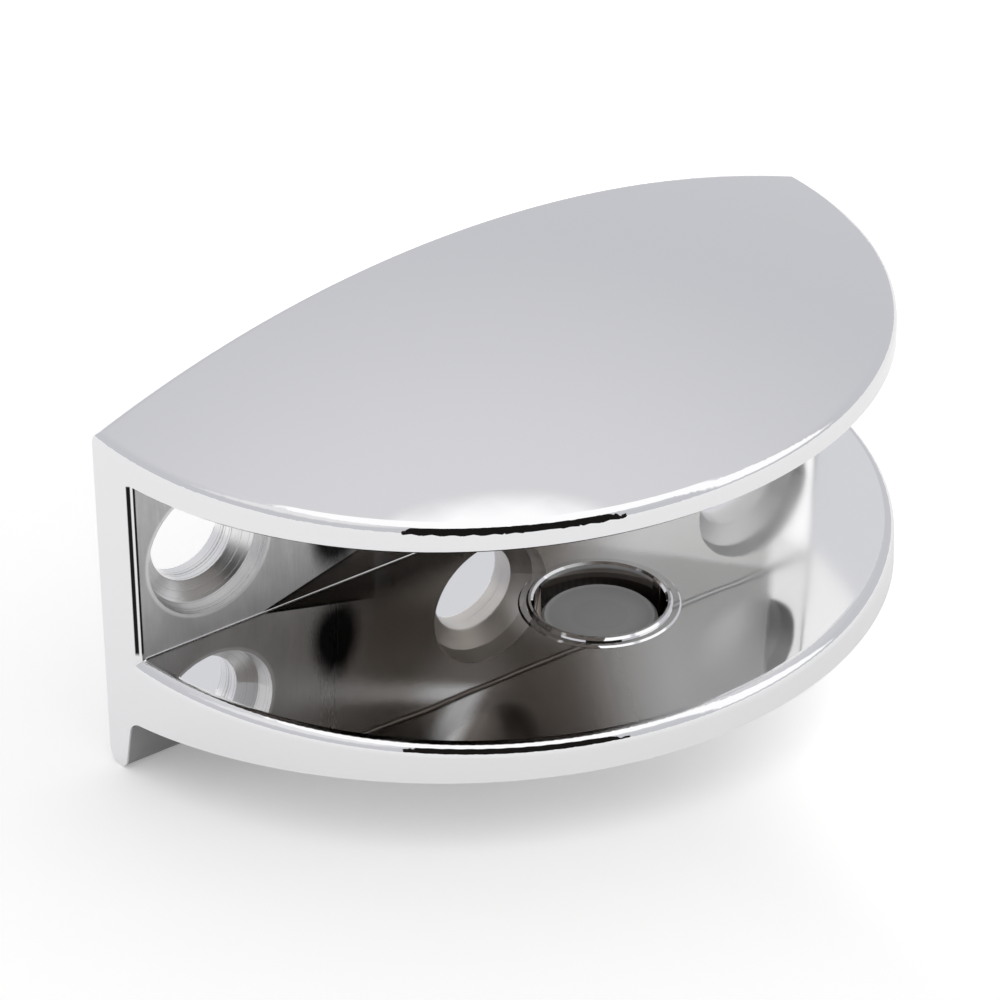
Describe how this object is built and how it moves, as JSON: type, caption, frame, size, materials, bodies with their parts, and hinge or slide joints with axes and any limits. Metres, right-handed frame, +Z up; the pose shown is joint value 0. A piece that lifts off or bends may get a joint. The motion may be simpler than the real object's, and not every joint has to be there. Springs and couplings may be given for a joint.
{
  "type": "shelf support",
  "caption": "Half-moon glass shelf clamp in chromed cast metal: a mouth grips the shelf's edge and a pad lifted by a set screw holds it.",
  "frame": {"origin": "middle of the wall face, level with the lower jaw's upper face carried on to the wall plane", "axes": "+X across the wall, +Y into the wall, +Z up; the shelf goes in along +Y"},
  "size_m": [0.05, 0.0263, 0.0265],
  "materials": {
    "casting": "polished chrome plate on zinc casting, satin inside the mouth's back wall",
    "pad": "frosted translucent grey",
    "screw": "zinc-plated steel"
  },
  "bodies": {
    "support": {"body": "casting"},
    "pad": {"clamp_pad": "pad"},
    "screw": {"clamp_screw": "screw"}
  },
  "joints": [
    {"name": "pad_lift", "type": "slide", "parent": "support", "child": "pad", "axis": [0, -0.0297, 0.9996], "range_m": [0, 0.003]},
    {"name": "screw_turn", "type": "hinge", "parent": "pad", "child": "screw", "pos_m": [0, -0.014, -0.00042], "axis": [0, -0.0297, 0.9996], "range_deg": [0, 1080]}
  ],
  "couplings": [
    {"joint": "screw_turn", "follows": "pad_lift", "rad_per_m": 6283.2}
  ]
}
